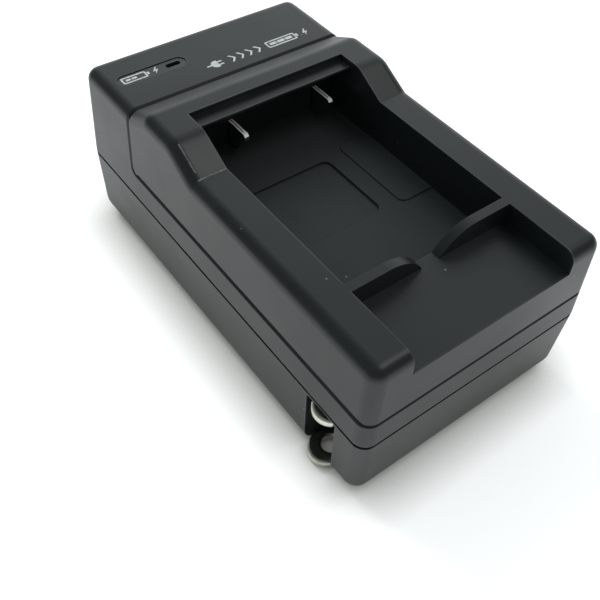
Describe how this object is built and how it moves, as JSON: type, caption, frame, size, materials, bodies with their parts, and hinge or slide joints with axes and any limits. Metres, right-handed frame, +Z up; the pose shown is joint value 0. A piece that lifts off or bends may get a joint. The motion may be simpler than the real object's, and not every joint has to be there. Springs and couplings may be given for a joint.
{
  "type": "camera battery charger",
  "caption": "Compact black desk charger with an open battery bay, spring-free contact blades, a charge lamp window and a flat-blade mains plug that folds into one side.",
  "frame": {"origin": "middle of the underside that the charger stands on", "axes": "+X across the charger to the side without the plug, +Y from the open front end to the head, +Z up"},
  "size_m": [0.0489, 0.084, 0.0368],
  "materials": {
    "case_plastic": "black moulded plastic, fine satin grain",
    "inner_plastic": "plain black moulded plastic",
    "window_plastic": "smoked, polished",
    "contact_plate": "nickel plated, satin",
    "plug_plate": "nickel plated, polished",
    "spring_plate": "bare spring strip",
    "board": "brown laminate",
    "ferrite": "ground dark grey",
    "winding_tape": "yellow tape",
    "can_sleeve": "dark plastic sleeve",
    "dipped_ceramic": "blue dipped coat",
    "resistor_coat": "green lacquer",
    "diode_body": "black moulded body",
    "lamp_lens": "clear tinted lens",
    "screw_steel": "zinc plated"
  },
  "bodies": {
    "housing": {"lower_case": "case_plastic", "upper_case": "case_plastic", "battery_cradle": "case_plastic", "contact_holder": "case_plastic", "plug_cover": "inner_plastic", "dc_socket": "inner_plastic", "control_chip": "inner_plastic", "indicator_window": "window_plastic", "contact_positive": "contact_plate", "contact_negative": "contact_plate", "supply_spring_front": "spring_plate", "supply_spring_rear": "spring_plate", "circuit_board": "board", "transformer_core": "ferrite", "transformer_winding": "winding_tape", "input_capacitor": "can_sleeve", "output_capacitor": "can_sleeve", "safety_capacitor": "dipped_ceramic", "fuse_resistor": "resistor_coat", "rectifier_diodes": "diode_body", "indicator_led": "lamp_lens", "case_screws": "screw_steel"},
    "plug": {"plug_carrier": "case_plastic", "plug_blade_upper": "plug_plate", "plug_blade_lower": "plug_plate", "pivot_pin_front": "plug_plate", "pivot_pin_rear": "plug_plate"}
  },
  "joints": [
    {"name": "plug_fold", "type": "hinge", "parent": "housing", "child": "plug", "pos_m": [0, -0.0322, 0.0075], "axis": [0, -1, 0], "range_deg": [0, 90]}
  ]
}
